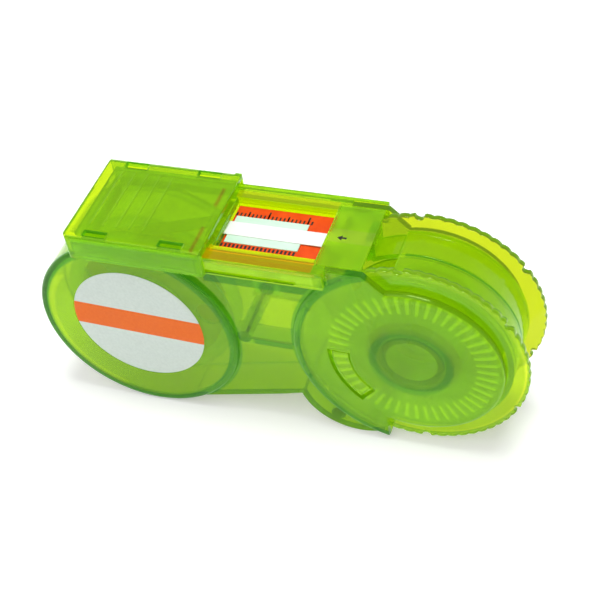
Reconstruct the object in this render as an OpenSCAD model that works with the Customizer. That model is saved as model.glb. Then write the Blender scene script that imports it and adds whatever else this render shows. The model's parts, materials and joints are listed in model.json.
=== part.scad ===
// Fibre optic cleaning cassette: a reel of cleaning tape in a translucent case, a sliding
// shutter over the cleaning window, and a thumbwheel that winds the used tape.
// X runs along the case with the wheel at +X, the labelled face looks to -Y, and Z is up.
// The origin is the middle of the case's underside.

/* [Case] */
// Radius of the case's supply end
supply_end_r = 26.7; // [26.2:0.1:27.6]
// Distance between the supply reel's axis and the thumbwheel's axis
axis_distance = 70.9; // [70:0.1:76]
// Thickness of the case over its two round faces
case_t = 24.7; // [24.2:0.1:27]
// Depth of the waist's faces below the round faces
waist_step = 1.45; // [1.2:0.05:1.5]
// Wall of the supply end and of the foot
face_wall = 1.5; // [1.2:0.1:1.7]
// Wall of the waist
waist_wall = 1.3; // [1.1:0.05:1.35]
// How far the thumbwheel's rims stand out past the plates beside them
rim_show = 5.4; // [5:0.1:6]
// Rounding of the case's outer edges
edge_round = 1.2; // [0.6:0.1:1.3]
// Radius of the foot under the waist
foot_r = 15; // [14.6:0.1:15.6]
// How far the foot's centre lies behind the wheel's axis
foot_back = 15.4; // [15:0.1:15.8]
// How far the waist's underside drops to the foot, before the foot's centre
foot_lead = 16.3; // [16:0.1:16.8]
// Height of the waist's underside where it meets the foot
waist_low_z = 9.9; // [9.5:0.1:10.4]
// Where the case's lower edge steps up to the wheel, behind the wheel's axis
step_back = 7.3; // [7:0.1:8]

/* [Deck] */
// Gap between the case's supply end and the deck
deck_lift = 1; // [0.8:0.1:1.4]
// Thickness of the deck
deck_t = 1.6; // [1.4:0.1:1.7]
// Height of the rails
rail_h = 4.7; // [4.4:0.1:5.2]
// Wall of the rails
rail_t = 1.3; // [1.1:0.05:1.3]
// How far the deck passes the supply reel's axis
deck_lead = 10.6; // [10:0.1:11.5]
// Where the deck ends, behind the wheel's axis
deck_end_back = 10.3; // [10:0.1:11]
// Where the front rail ends, behind the wheel's axis
front_rail_back = 18.6; // [18:0.1:19.2]
// Height of the guide groove in the rails
groove_h = 0.8; // [0.7:0.1:1.1]
// Depth of the guide groove
groove_depth = 0.7; // [0.5:0.05:0.75]
// Where the guide grooves end, behind the wheel's axis
groove_end_back = 25.3; // [25:0.1:26]

/* [Window] */
// Length of the cleaning window
window_l = 25.2; // [24.6:0.1:25.6]
// Width of the cleaning window
window_w = 17.2; // [15:0.1:17.3]
// Distance from the window's end to the axis of the guide roller beside it
guide_lead = 2.3; // [2.2:0.1:2.8]
// Depth of the scale plate's face below the deck
window_depth = 2.6; // [2.5:0.1:3]
// Thickness of the scale plate
scale_plate_t = 1; // [0.8:0.1:1.1]
// Length of the cleaning pad
pad_l = 18.4; // [14:0.1:20]
// Width of the cleaning pad
pad_w = 9.3; // [6:0.1:12]
// Thickness of the cleaning pad
pad_t = 0.3; // [0.2:0.05:0.4]

/* [Shutter] */
// Length of the shutter
shutter_l = 35.6; // [34:0.1:36]
// Gap between the deck and the shutter's top
shutter_lift = 1.1; // [0.8:0.1:1.4]
// Thickness of the shutter's top
shutter_t = 1.3; // [1.1:0.1:1.5]
// Wall of the shutter's skirts
skirt_t = 1.05; // [0.9:0.05:1.3]
// Length of a shutter lug
lug_l = 5.8; // [5:0.1:6]
// Distance from the shutter's wheel-side end to its first lugs
lug_inset = 5.1; // [4.9:0.1:5.6]
// Distance from the first lugs to the second lugs
lug_pitch = 19.5; // [18:0.1:20]
// Width of the shutter's pull lip
lip_w = 1.7; // [1.5:0.1:2.4]

/* [Tape] */
// Width of the cleaning tape
tape_w = 4.5; // [4:0.1:4.6]
// Thickness of the cleaning tape
tape_t = 0.2; // [0.15:0.01:0.22]
// How far the supply spool's flanges stand out past the fresh tape roll
fresh_lead = 3.5; // [2.5:0.1:7]
// Depth of the used tape on the take-up spool
used_depth = 0.5; // [0.4:0.1:1.2]
// Radius of the guide rollers
roller_r = 2; // [1.9:0.05:2.05]
// Radius of the guide pins
pin_r = 1; // [0.8:0.05:1.05]

/* [Supply reel] */
// Radius of the post that carries the supply spool
post_r = 5; // [4.5:0.1:5.5]
// Radius of the supply spool's core
core_r = 9.5; // [9.2:0.1:11]
// Gap between the supply spool's flanges and the case
spool_room = 2.7; // [2:0.1:4]
// Thickness of the spools' flanges
spool_flange_t = 0.8; // [0.6:0.1:0.9]

/* [Thumbwheel] */
// How much further the thumbwheel's rims reach than the supply end
wheel_proud = 1.1; // [0.9:0.1:1.3]
// Width over the thumbwheel's two flanges
wheel_w = 20.2; // [19.8:0.1:20.4]
// Thickness of a thumbwheel flange
wheel_flange_t = 1.6; // [1.4:0.1:1.8]
// Radius of the case's journals, which carry the thumbwheel
journal_r = 8.05; // [7.6:0.05:8.2]
// Wall of the journals
journal_wall = 1.75; // [1.2:0.05:2]
// Number of lobes round a rim
lobe_count = 60; // [54:6:66]
// Radius of a lobe
lobe_r = 2.8; // [2.6:0.1:3.2]
// Number of large notches round a rim
notch_count = 6; // [4:1:8]
// Radius of the large notches
notch_r = 1.1; // [0.8:0.1:1.4]
// Number of click ribs
click_rib_count = 48; // [36:1:54]
// Depth of the tape guard below the rims
guard_depth = 4; // [3.6:0.1:4.2]
// Wall of the tape guard
guard_wall = 1.4; // [1.2:0.1:1.6]

/* [Click pawl] */
// Inner radius of the pawl
pawl_in_r = 15.3; // [15:0.1:15.8]
// Width of the pawl
pawl_w = 4.1; // [3.8:0.1:4.4]
// Angle of the pawl's root, from +X towards +Z
pawl_root_angle = 178; // [176:0.5:180]
// Angle that the pawl spans
pawl_angle = 48.5; // [44:0.5:50]

/* [Label] */
// Diameter of the label
label_d = 35; // [30:0.5:40]
// Thickness of the label
label_t = 0.12; // [0.1:0.01:0.2]

/* [Hidden] */

// Angles
quarter_angle = 90;
half_angle = 180;
full_angle = 360;

// Fineness of the round shapes and of the arcs in outlines
$fn = 96;
arc_steps = 6;
tape_steps = 8;

// Clearances and overruns
over = 1;
sink = 0.4;
shaft_gap = 0.05;
rim_gap = 0.3;
side_gap = 0.25;
snug = 0.02;
tape_gap = 0.3;
slide_gap = 0.15;
seat_gap = 0.1;

// The wheel's end of the case
wheel_wall = 1.2;
plate_wall = 1.75;
wheel_rim_r = supply_end_r + wheel_proud;
cover_r = wheel_rim_r - rim_show;
wheel_end_r = wheel_rim_r + rim_gap + wheel_wall;
wheel_room_r = wheel_rim_r + rim_gap;

// Axes of the supply reel, the wheel and the foot, as [x, z]
supply_x = (supply_end_r - wheel_rim_r - axis_distance) / 2;
supply_c = [supply_x, supply_end_r];
wheel_c = [supply_x + axis_distance, wheel_end_r];
foot_c = [wheel_c[0] - foot_back, foot_r];

// Planes across the case
face_y = case_t / 2;
waist_y = face_y - waist_step;
plate_y = face_y - plate_wall;
room_y = face_y - face_wall;
waist_room_y = waist_y - waist_wall;
wheel_y = wheel_w / 2;
flange_y = wheel_y - wheel_flange_t;
guard_y = flange_y - rim_gap;
tape_y = tape_w / 2;
spool_in_y = tape_y + side_gap;
spool_out_y = spool_in_y + spool_flange_t;

// Heights of the deck
deck_under_z = supply_end_r + supply_end_r + deck_lift;
deck_z = deck_under_z + deck_t;
rail_low_z = deck_z - rail_h;
plate_top_z = deck_z - window_depth;
tray_top_z = plate_top_z - scale_plate_t;
tape_low_z = plate_top_z + pad_t;
tray_floor = 1.2;
tray_low_z = tray_top_z - tray_floor;
tray_wall = 0.9;
tray_gap = 0.08;

// Guide rollers, one on each side of the window
roller_clear = 0.2;
roller_gap_left = 2.7;
roller_z = tape_low_z - tape_gap - roller_r;
roller_reach = wheel_room_r + pin_r + roller_clear;
roller_back = sqrt(roller_reach * roller_reach - (roller_z - wheel_c[1]) * (roller_z - wheel_c[1]));
right_roller_c = [wheel_c[0] - roller_back, roller_z];
window_right = right_roller_c[0] - guide_lead;
window_left = window_right - window_l;
left_roller_c = [window_left - roller_gap_left, roller_z];
roller_y = 3.2;
pin_socket = 0.9;
pin_y = waist_room_y + pin_socket - seat_gap;

// Places along the deck
deck_left = supply_c[0] - deck_lead;
deck_right = wheel_c[0] - deck_end_back;
front_rail_end = wheel_c[0] - front_rail_back;
rail_gap = 0.05;
deck_w = case_t + 2 * (rail_gap + rail_t);
deck_tab_end = front_rail_end - over;

// The case's outline as [x, z]
corner_lead = 0.6;
corner_angle = 102.4;
cover_corner = wheel_c + cover_r * [cos(corner_angle), sin(corner_angle)];
step_x = wheel_c[0] - step_back;
far_left = supply_c[0] - supply_end_r - over;
housing_outline = [[far_left, -over], [step_x, -over], [step_x, wheel_c[1]], cover_corner,
                   [deck_right + corner_lead, deck_z], [far_left, deck_z]];

waist_tuck = 1.1;
waist_low_angle = -64;
waist_left = deck_left + waist_tuck;
waist_right_c = [foot_c[0] - foot_lead, waist_low_z];
function waist_outline(wall) = [
    [waist_left + wall, deck_under_z + (wall > 0 ? over : 0)],
    [wheel_c[0] - (wall > 0 ? deck_end_back + guide_lead : 0), deck_under_z + (wall > 0 ? over : 0)],
    [wheel_c[0] - (wall > 0 ? deck_end_back + guide_lead : 0), foot_c[1]],
    foot_c,
    waist_right_c + [wall / 2, wall],
    supply_c + (supply_end_r - wall) * [cos(waist_low_angle), sin(waist_low_angle)],
    supply_c,
    [waist_left + wall, supply_c[1]]];

// Ribs and pegs in the waist
rib_t = 0.9;
rib_y = 5;
rib_up = 0.4;
rib_z = supply_c[1] + rib_up;
rib_top_lead = 36;
rib_low_lead = 27.6;
rib_tray_gap = 5.7;
rib_top = [supply_c[0] + rib_top_lead, tray_low_z - rib_tray_gap];
rib_bottom = [supply_c[0] + rib_low_lead, rib_z];
rib_left = supply_c[0] + supply_end_r - face_wall;
rib_right = wheel_c[0] - wheel_end_r + sink;
peg_boss_r = 1.9;
peg_r = 1.1;
peg_l = 4;
peg_foot_back = 5.5;
peg_foot_down = 10.6;
peg_places = [rib_top + [rib_t / 2, 0], rib_bottom + [rib_t / 2, rib_t / 2],
              foot_c - [peg_foot_back, peg_foot_down]];

// Supply post, its shoulders and its socket
post_y = 9;
socket_r = 8.5;
shoulder_r = 9.5;
shoulder_y = 5.1;
front_shoulder_y = spool_out_y + side_gap;
snout_r = 8.5;
spool_flange_r = supply_end_r - face_wall - spool_room;
fresh_r = spool_flange_r - fresh_lead;
spool_web = 3.1;
spool_hole_r = (spool_flange_r - core_r) / 2 - spool_web;
spool_hole_place_r = (spool_flange_r + core_r) / 2;
spool_hole_count = 5;
felt_t = 0.8;
felt_gap = 0.6;
felt_in_r = post_r + felt_gap;
felt_y = spool_out_y + shaft_gap;
spring_t = 0.3;
spring_gap = 0.05;
spring_low_y = felt_y + felt_t + spring_gap;
spring_high_y = shoulder_y - spring_gap;

// Thumbwheel
journal_y = 4.5;
wheel_bore_r = journal_r + shaft_gap;
hub_r = 10;
hub_y = 0.05;
hub_shoulder_r = 11.6;
hub_shoulder_y = spool_out_y + shaft_gap;
key_w = 2;
key_h = 0.8;
key_gap = 0.1;
take_up_core_r = 11.8;
used_r = take_up_core_r + used_depth;
take_up_flange_r = 20;
notch_angle = 33.6;
lobe_lap = 1.8;
pawl_out_r = pawl_in_r + pawl_w;
click_in_lead = 0.2;
click_out_lead = 1.2;
click_in_r = pawl_in_r + click_in_lead;
click_out_r = pawl_out_r + click_out_lead;
click_w = 0.7;
click_h = 0.25;

// Tape guard and the deck's tongue
guard_r = wheel_rim_r - guard_depth;
guard_in_r = guard_r - guard_wall;
guard_mid_r = (guard_r + guard_in_r) / 2;
guard_top_angle = 101;
tongue_y = 7;
tongue_w = 2.3;
tongue_angle = acos(-(deck_end_back + tongue_w / 2) / guard_mid_r);
guard_low_angle = -111;
guard_foot_angle = -119;
guard_lap_angle = 0.4;
guard_line_y = 6.4;
guard_line_w = 0.35;
guard_line_depth = 0.3;

// Shutter
groove_up = 0.5;
groove_y = deck_w / 2 - groove_depth;
shutter_in_y = deck_w / 2 + slide_gap;
shutter_out_y = shutter_in_y + skirt_t;
shutter_low_z = rail_low_z;
shutter_in_z = deck_z + shutter_lift;
shutter_top_z = shutter_in_z + shutter_t;
shutter_end_gap = 0.6;
shutter_right = window_left - shutter_end_gap;
shutter_left = shutter_right - shutter_l;
shutter_round = 1.5;
plan_round = 1.6;
lip_h = 0.35;
grip_r = 0.35;
grip_count = 5;
grip_pitch = 3.4;
grip_first = 5.6;
grip_inset = 3.85;
grip_y = shutter_in_y - grip_inset;
lug_y = groove_y + slide_gap;
lug_gap_z = 0.1;
lug_hole_w = 1.95;
lug_hole_y = shutter_in_y - lug_hole_w;
plate_gap = 0.1;
pad_lead = 0.8;

// Click pawl
slot_out_w = 0.9;
slot_in_w = 0.4;
slot_root_angle = 0.4;
slot_gap_angle = 3.2;
pawl_end_angle = pawl_root_angle + pawl_angle;
slot_end_angle = pawl_end_angle + slot_gap_angle;
pawl_t = 1.3;
tooth_angle = 4;
tooth_gap = 0.15;
tooth_y = -wheel_y - click_h - tooth_gap;

// Label
label_up = 1.5;
label_side = 0.55;
label_c = supply_c + [label_side, label_up];
label_gap = 0.2;
label_seat_depth = 0.1;
label_y = face_y - label_seat_depth;

case_green = "#7fc41e";
case_light = "#9ad42a";
wheel_green = "#86c822";
plate_orange = "#e2581c";
tape_white = "#f4f6f4";
pad_mint = "#dcece2";
felt_grey = "#9aa0a0";
steel = "#b8bcc0";
spool_white = "#dfe6dc";

function arc(c, r, from, to, steps) =
    [for (i = [0:steps]) let (angle = from + (to - from) * i / steps) c + r * [cos(angle), sin(angle)]];

// An [x, z] outline made solid between two planes across the case
module slab(y_low, y_high) {
    translate([0, y_high, 0]) rotate([quarter_angle, 0, 0]) linear_extrude(y_high - y_low) children();
}

// A [y, z] outline made solid between two places along the case
module along(x_low, x_high) {
    translate([x_low, 0, 0]) rotate([quarter_angle, 0, quarter_angle])
        linear_extrude(x_high - x_low) children();
}

module block(low, high) {
    translate(low) cube(high - low);
}

module rod(c, r, y_low, y_high) {
    translate([c[0], y_high, c[1]]) rotate([quarter_angle, 0, 0]) cylinder(h = y_high - y_low, r = r);
}

module ring(c, r_out, r_in, y_low, y_high) {
    difference() {
        rod(c, r_out, y_low, y_high);
        rod(c, r_in, y_low - over, y_high + over);
    }
}

// A wedge of a round shape, between two angles
module wedge(c, r, from, to, y_low, y_high) {
    intersection() {
        children();
        slab(y_low - over, y_high + over) polygon(concat([c], arc(c, r + over, from, to, $fn)));
    }
}

// A disc towards -Y whose outer edge is rounded
module face_disc(c, r, y_in) {
    translate([c[0], 0, c[1]]) rotate([quarter_angle, 0, 0]) rotate_extrude()
        polygon(concat([[0, y_in], [r, y_in]],
                       arc([r - edge_round, face_y - edge_round], edge_round,
                           0, quarter_angle, arc_steps),
                       [[0, face_y]]));
}

module at_rear() {
    mirror([0, 1, 0]) children();
}

// The outside of the front half of the case
module half_outside() {
    face_disc(supply_c, supply_end_r, 0);
    face_disc(wheel_c, cover_r, plate_y);
    intersection() {
        union() {
            face_disc(wheel_c, wheel_end_r, 0);
            rod(foot_c, foot_r, -waist_y, 0);
            slab(-waist_y, 0) polygon(waist_outline(0));
            slab(-face_y, -plate_y) polygon([[front_rail_end + seat_gap, rail_low_z],
                [front_rail_end + seat_gap, deck_z], [wheel_c[0], deck_z], [wheel_c[0], rail_low_z]]);
        }
        slab(-case_t, over) polygon(housing_outline);
    }
}

// The rooms for the reel, the wheel and the tape in the front half
module half_inside() {
    rod(supply_c, supply_end_r - face_wall, -room_y, over);
    rod(wheel_c, wheel_room_r, -plate_y, over);
    slab(-waist_room_y, over) polygon(waist_outline(waist_wall));
    rod(foot_c, foot_r - face_wall, -waist_room_y, over);
    block([far_left, -plate_y, deck_under_z], [deck_right, over, deck_z + over]);
    block([deck_right, -plate_y, wheel_c[1]], [wheel_c[0], over, deck_z + over]);
    // Room for the window's tray
    block([window_left - rim_gap - tray_gap, -window_w / 2 - tray_wall - tray_gap, tray_low_z - tray_gap],
          [window_right + tray_gap, over, deck_z + over]);
}

module waist_ribs() {
    slab(-waist_room_y - sink, -rib_y) {
        polygon([[rib_left, rib_z], [rib_right, rib_z],
                 [rib_right, rib_z + rib_t], [rib_left, rib_z + rib_t]]);
        polygon([rib_bottom, rib_bottom + [rib_t, 0], rib_top + [rib_t, 0], rib_top]);
    }
}

module peg_bosses() {
    for (place = peg_places) rod(place, peg_boss_r, -waist_room_y - sink, 0);
}

module pin_sockets() {
    for (c = [left_roller_c, right_roller_c])
        rod(c, pin_r + shaft_gap, -waist_room_y - pin_socket, over);
}

// A shallow round seat for a label in the supply end's face
module label_seat() {
    rod(label_c, label_d / 2 + label_gap, -face_y - over, -label_y);
}

module half_case() {
    difference() {
        union() {
            difference() {
                half_outside();
                half_inside();
            }
            waist_ribs();
            peg_bosses();
            ring(wheel_c, journal_r, journal_r - journal_wall, -plate_y - sink, -journal_y);
        }
        pin_sockets();
        label_seat();
    }
}

module pawl_slot() {
    wedge(wheel_c, pawl_out_r + over, pawl_root_angle - slot_root_angle, slot_end_angle,
          -face_y, -plate_y)
        ring(wheel_c, pawl_out_r + slot_out_w, pawl_in_r - slot_in_w, -face_y - over, -plate_y + over);
}

module front_shell() {
    color(case_green) {
        difference() {
            half_case();
            pawl_slot();
        }
        ring(supply_c, socket_r, post_r + shaft_gap, -room_y - sink, -front_shoulder_y);
        for (place = peg_places) rod(place, peg_r, -over, peg_l);
    }
}

module rear_shell() {
    color(case_green) {
        difference() {
            at_rear() half_case();
            for (place = peg_places) rod(place, peg_r + shaft_gap, -over, peg_l + rim_gap);
        }
        rod(supply_c, shoulder_r, shoulder_y, room_y + sink);
        rod(supply_c, post_r, -post_y, room_y + sink);
    }
}

// One rail of the deck with its guide groove, on the front side
module rail(right_end) {
    difference() {
        block([deck_left, -deck_w / 2, rail_low_z],
              [right_end, rail_t - deck_w / 2, deck_under_z + sink]);
        block([deck_left - over, -deck_w / 2 - over, rail_low_z + groove_up],
              [wheel_c[0] - groove_end_back, -groove_y, rail_low_z + groove_up + groove_h]);
    }
}

module top_deck() {
    color(case_light) {
        difference() {
            union() {
                block([deck_left, -deck_w / 2, deck_under_z], [front_rail_end, deck_w / 2, deck_z]);
                block([deck_tab_end, seat_gap - plate_y, deck_under_z],
                      [deck_right, plate_y - seat_gap, deck_z]);
                rail(front_rail_end);
                at_rear() rail(front_rail_end);
                // The rear rail runs on past the case's face
                block([deck_tab_end, face_y + rail_gap, rail_low_z],
                      [deck_right, deck_w / 2, deck_z]);
                // The tray under the window
                block([window_left - rim_gap, -window_w / 2 - tray_wall, tray_low_z],
                      [window_right, window_w / 2 + tray_wall, deck_under_z + sink]);
            }
            block([window_left - over, -window_w / 2, tray_top_z],
                  [window_right + over, window_w / 2, deck_under_z]);
            block([window_left, -window_w / 2, tray_top_z],
                  [window_right, window_w / 2, deck_z + over]);
            rod(wheel_c, wheel_room_r, -plate_y, plate_y);
        }
        tongue();
    }
}

// The deck's tongue reaches down between the flanges to the tape guard
module tongue() {
    wedge(wheel_c, guard_r, guard_top_angle, tongue_angle, 0, tongue_y)
        ring(wheel_c, guard_r, guard_in_r, 0, tongue_y);
    difference() {
        block([deck_right - tongue_w, 0, wheel_c[1]], [deck_right, tongue_y, deck_z]);
        slab(-over, tongue_y + over) polygon(concat(
            arc(wheel_c, guard_mid_r, guard_top_angle, half_angle, arc_steps * arc_steps),
            [[deck_right - tongue_w - over, wheel_c[1] - over], [wheel_c[0], wheel_c[1] - over]]));
    }
}

// Half of the wall that keeps fingers off the used tape, on the front side
module half_guard() {
    difference() {
        union() {
            wedge(wheel_c, guard_r, guard_low_angle, guard_top_angle, -guard_y, 0)
                ring(wheel_c, guard_r, guard_in_r, -guard_y, 0);
            intersection() {
                wedge(wheel_c, wheel_end_r, guard_foot_angle, guard_low_angle + guard_lap_angle,
                      -guard_y, 0)
                    ring(wheel_c, wheel_end_r, guard_in_r, -guard_y, 0);
                rod(foot_c, foot_r - face_wall - shaft_gap, -guard_y, 0);
            }
        }
        ring(wheel_c, guard_r + over, guard_r - guard_line_depth,
             -guard_line_y - guard_line_w, -guard_line_y);
    }
}

module wheel_guard_front() {
    color(wheel_green) half_guard();
}

module wheel_guard_rear() {
    color(wheel_green) at_rear() half_guard();
}

// The shutter's outline across the case, as [y, z], with its outer side moved out by a distance
function shutter_outline(off) =
    let (side = shutter_out_y - shutter_round, top = shutter_top_z - shutter_round,
         r = shutter_round + off)
    concat([[-side - r, shutter_low_z]],
           arc([-side, top], r, half_angle, quarter_angle, arc_steps),
           arc([side, top], r, quarter_angle, 0, arc_steps),
           [[side + r, shutter_low_z], [shutter_in_y, shutter_low_z], [shutter_in_y, shutter_in_z],
            [-shutter_in_y, shutter_in_z], [-shutter_in_y, shutter_low_z]]);

// The shutter's outline from above, as [x, y], with its long sides moved out by a distance
function shutter_plan(off) =
    let (left = shutter_left + plan_round, right = shutter_right - plan_round,
         side = shutter_out_y + off - plan_round)
    concat(arc([left, -side], plan_round, half_angle, half_angle + quarter_angle, arc_steps),
           arc([right, -side], plan_round, -quarter_angle, 0, arc_steps),
           arc([right, side], plan_round, 0, quarter_angle, arc_steps),
           arc([left, side], plan_round, quarter_angle, half_angle, arc_steps));

// A length of the shutter's cover and skirts
module shutter_shape(from, off) {
    intersection() {
        along(from, shutter_right) polygon(shutter_outline(off));
        translate([0, 0, shutter_low_z - over])
            linear_extrude(shutter_top_z - shutter_low_z + over + over) polygon(shutter_plan(off));
    }
}

module sliding_shutter() {
    color(case_light) {
        difference() {
            shutter_shape(shutter_left, 0);
            // Openings above the lugs
            for (first = [lug_inset, lug_inset + lug_pitch]) for (side = [-1, 1])
                translate([0, side * (lug_hole_y + shutter_in_y) / 2, 0])
                    block([shutter_right - first - lug_l, (lug_hole_y - shutter_in_y) / 2,
                           shutter_in_z - over],
                          [shutter_right - first, (shutter_in_y - lug_hole_y) / 2,
                           shutter_top_z + over]);
        }
        // Lugs that ride in the rails' grooves
        for (first = [lug_inset, lug_inset + lug_pitch]) for (side = [-1, 1])
            translate([0, side * (lug_y + shutter_in_y + sink) / 2, 0])
                block([shutter_right - first - lug_l, (lug_y - shutter_in_y - sink) / 2,
                       rail_low_z + groove_up + lug_gap_z],
                      [shutter_right - first, (shutter_in_y + sink - lug_y) / 2,
                       rail_low_z + groove_up + groove_h - lug_gap_z]);
        // Pull lip at the window's end and grip lines at the other
        shutter_shape(shutter_right - lip_w, lip_h);
        for (i = [0:grip_count - 1])
            rod([shutter_left + grip_first + i * grip_pitch, shutter_top_z - grip_r / 2], grip_r,
                -grip_y, grip_y);
    }
}

module scale_plate() {
    color(plate_orange)
        block([window_left + plate_gap, plate_gap - window_w / 2, tray_top_z],
              [window_right - plate_gap, window_w / 2 - plate_gap, plate_top_z]);
}

module platen_pad() {
    color(pad_mint)
        block([window_left + pad_lead, -pad_w / 2, plate_top_z],
              [window_left + pad_lead + pad_l, pad_w / 2, tape_low_z - snug]);
}

// The tape's path: tangent angles at the supply roll, the rollers and the used roll
roller_path_r = roller_r + tape_gap;
fresh_path_r = fresh_r + tape_gap;
used_path_r = used_r + tape_gap;
supply_span = left_roller_c - supply_c;
supply_angle = atan2(supply_span[1], supply_span[0])
    + acos((fresh_path_r - roller_path_r) / norm(supply_span));
take_up_span = wheel_c - right_roller_c;
take_up_angle = atan2(take_up_span[1], take_up_span[0])
    + acos((roller_path_r + used_path_r + tape_t) / norm(take_up_span));
wrap_angle = 12;

// One side of the tape, a given distance off its inner side
function tape_side(off) = concat(
    arc(supply_c, fresh_path_r + off, supply_angle + wrap_angle, supply_angle, tape_steps),
    arc(left_roller_c, roller_path_r + off, supply_angle, quarter_angle, tape_steps),
    arc(right_roller_c, roller_path_r + off, quarter_angle, take_up_angle, tape_steps),
    arc(wheel_c, used_path_r + tape_t - off,
        half_angle + take_up_angle, half_angle + take_up_angle + wrap_angle, tape_steps));

function reversed(points) = [for (i = [len(points) - 1:-1:0]) points[i]];

module cleaning_tape() {
    color(tape_white) slab(-tape_y, tape_y) polygon(concat(tape_side(0), reversed(tape_side(tape_t))));
}

module fresh_tape_roll() {
    color(tape_white) ring(supply_c, fresh_r, core_r + snug, -tape_y, tape_y);
}

// Round openings in a supply flange
module spool_windows(y_low, y_high) {
    for (i = [0:spool_hole_count - 1])
        let (angle = i * full_angle / spool_hole_count)
            rod(supply_c + spool_hole_place_r * [cos(angle), sin(angle)],
                spool_hole_r, y_low - over, y_high + over);
}

module supply_spool() {
    color(spool_white) difference() {
        union() {
            rod(supply_c, core_r, -spool_in_y, spool_in_y);
            rod(supply_c, snout_r, -spool_out_y, 0);
            difference() {
                rod(supply_c, spool_flange_r, spool_in_y, spool_out_y);
                spool_windows(spool_in_y, spool_out_y);
            }
        }
        rod(supply_c, post_r + shaft_gap, -spool_out_y - over, spool_out_y + over);
    }
}

module supply_spool_cover() {
    color(spool_white) difference() {
        ring(supply_c, spool_flange_r, snout_r + snug, -spool_out_y, -spool_in_y);
        spool_windows(-spool_out_y, -spool_in_y);
    }
}

module drag_felt() {
    color(felt_grey) ring(supply_c, snout_r, felt_in_r, felt_y, felt_y + felt_t);
}

// A dished spring washer
module drag_spring() {
    color(steel) translate([supply_c[0], 0, supply_c[1]]) rotate([-quarter_angle, 0, 0]) rotate_extrude()
        polygon([[felt_in_r, spring_low_y], [snout_r, spring_high_y - spring_t],
                 [snout_r, spring_high_y], [felt_in_r, spring_low_y + spring_t]]);
}

module guide_pin(c) {
    color(steel) rod(c, pin_r, -pin_y, pin_y);
}

module guide_roller(c) {
    color(spool_white) ring(c, roller_r, pin_r + shaft_gap, -roller_y, roller_y);
}

module guide_pin_left() {
    guide_pin(left_roller_c);
}

module guide_pin_right() {
    guide_pin(right_roller_c);
}

module guide_roller_left() {
    guide_roller(left_roller_c);
}

module guide_roller_right() {
    guide_roller(right_roller_c);
}

// A point on a circle about the wheel's axis
function round_wheel(r, angle) = wheel_c + r * [cos(angle), sin(angle)];

// A flange whose rim is made of shallow lobes
module lobed_flange() {
    rod(wheel_c, wheel_rim_r - lobe_r + lobe_lap, -wheel_y, -flange_y);
    for (i = [0:lobe_count - 1])
        rod(round_wheel(wheel_rim_r - lobe_r, i * full_angle / lobe_count), lobe_r, -wheel_y, -flange_y);
}

module drive_keys(w, h, y_low, y_high) {
    block([wheel_c[0] - hub_r - h, y_low, wheel_c[1] - w / 2],
          [wheel_c[0] + hub_r + h, y_high, wheel_c[1] + w / 2]);
}

// The front half of the thumbwheel
module half_wheel() {
    difference() {
        union() {
            lobed_flange();
            rod(wheel_c, hub_shoulder_r, -wheel_y, -hub_shoulder_y);
            rod(wheel_c, hub_r, -wheel_y, -hub_y);
            drive_keys(key_w, key_h, -hub_shoulder_y - sink, -hub_y);
        }
        rod(wheel_c, wheel_bore_r, -wheel_y - over, over);
        for (i = [0:notch_count - 1])
            rod(round_wheel(wheel_rim_r, notch_angle + i * full_angle / notch_count),
                notch_r, -wheel_y - over, -flange_y + over);
    }
}

module thumbwheel_front() {
    color(wheel_green) {
        half_wheel();
        // Ribs that the pawl clicks over
        for (i = [0:click_rib_count - 1])
            translate([wheel_c[0], 0, wheel_c[1]]) rotate([0, i * full_angle / click_rib_count, 0])
                block([click_in_r, -wheel_y - click_h, -click_w / 2],
                      [click_out_r, sink - wheel_y, click_w / 2]);
    }
}

module thumbwheel_rear() {
    color(wheel_green) at_rear() half_wheel();
}

module take_up_spool() {
    color(spool_white) difference() {
        union() {
            rod(wheel_c, take_up_core_r, -spool_out_y, spool_out_y);
            rod(wheel_c, take_up_flange_r, -spool_out_y, -spool_in_y);
            rod(wheel_c, take_up_flange_r, spool_in_y, spool_out_y);
        }
        rod(wheel_c, hub_r + shaft_gap, -spool_out_y - over, spool_out_y + over);
        drive_keys(key_w + key_gap + key_gap, key_h + key_gap, -spool_out_y - over, spool_out_y + over);
    }
}

module used_tape_roll() {
    color(tape_white) ring(wheel_c, used_r, take_up_core_r + snug, -tape_y, tape_y);
}

// A sprung tongue in the front face, with a tooth at its free end
module click_pawl() {
    color(case_light) {
        wedge(wheel_c, pawl_out_r, pawl_root_angle, pawl_end_angle, -face_y, pawl_t - face_y)
            ring(wheel_c, pawl_out_r, pawl_in_r, -face_y, pawl_t - face_y);
        wedge(wheel_c, pawl_out_r, pawl_end_angle - tooth_angle, pawl_end_angle, -face_y, tooth_y)
            ring(wheel_c, pawl_out_r, pawl_in_r, -face_y, tooth_y);
    }
}

module front_label() {
    color(tape_white) rod(label_c, label_d / 2, -label_y - label_t, -label_y);
}

front_shell();
rear_shell();
top_deck();
wheel_guard_front();
wheel_guard_rear();
sliding_shutter();
scale_plate();
platen_pad();
cleaning_tape();
fresh_tape_roll();
supply_spool();
supply_spool_cover();
drag_felt();
drag_spring();
guide_pin_left();
guide_roller_left();
guide_pin_right();
guide_roller_right();
thumbwheel_front();
thumbwheel_rear();
take_up_spool();
used_tape_roll();
click_pawl();
front_label();
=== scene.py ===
import json
import math
from collections import namedtuple

import bmesh
import bpy
from mathutils import Matrix, Vector


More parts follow.
